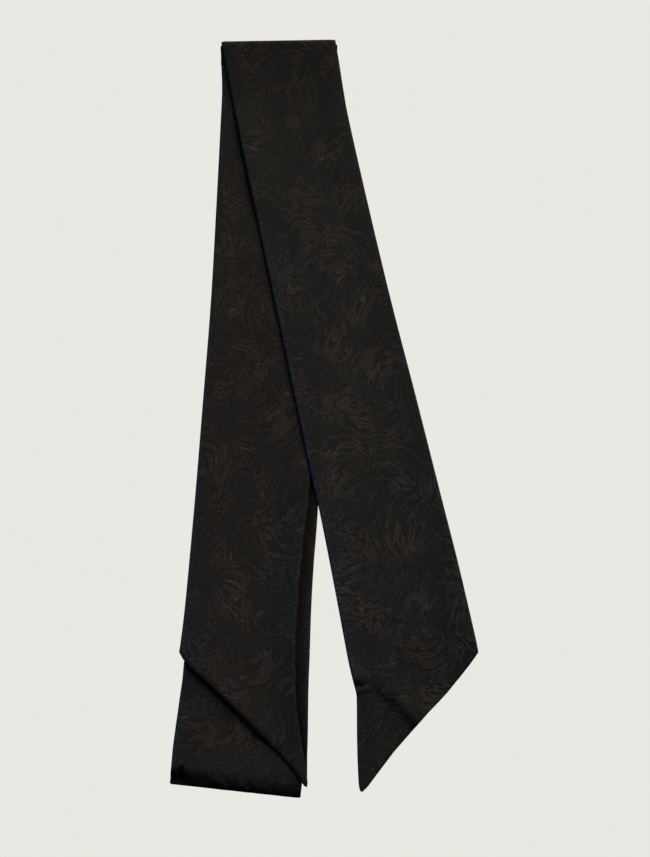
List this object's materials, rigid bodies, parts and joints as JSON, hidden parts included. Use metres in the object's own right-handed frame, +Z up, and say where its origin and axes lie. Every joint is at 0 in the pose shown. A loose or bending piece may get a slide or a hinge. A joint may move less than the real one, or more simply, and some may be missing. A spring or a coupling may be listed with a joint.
{
  "type": "wild rag",
  "caption": "Long, narrow neck scarf of black jacquard silk, folded in four and laid flat, its top end swung aside and its slanted hems showing.",
  "frame": {"origin": "middle of the whole outline seen from above, on the table that the scarf lies on", "axes": "+Z up from the table, +Y along the scarf towards the turn at its top, +X to the side that the front tail is swung to"},
  "size_m": [0.211, 0.568, 0.0089],
  "materials": {
    "silk": "black-on-black silk jacquard, soft sheen"
  },
  "bodies": {
    "root": {"front_tail": "silk", "under_tail": "silk", "lower_run": "silk", "hidden_layers": "silk"}
  },
  "joints": []
}
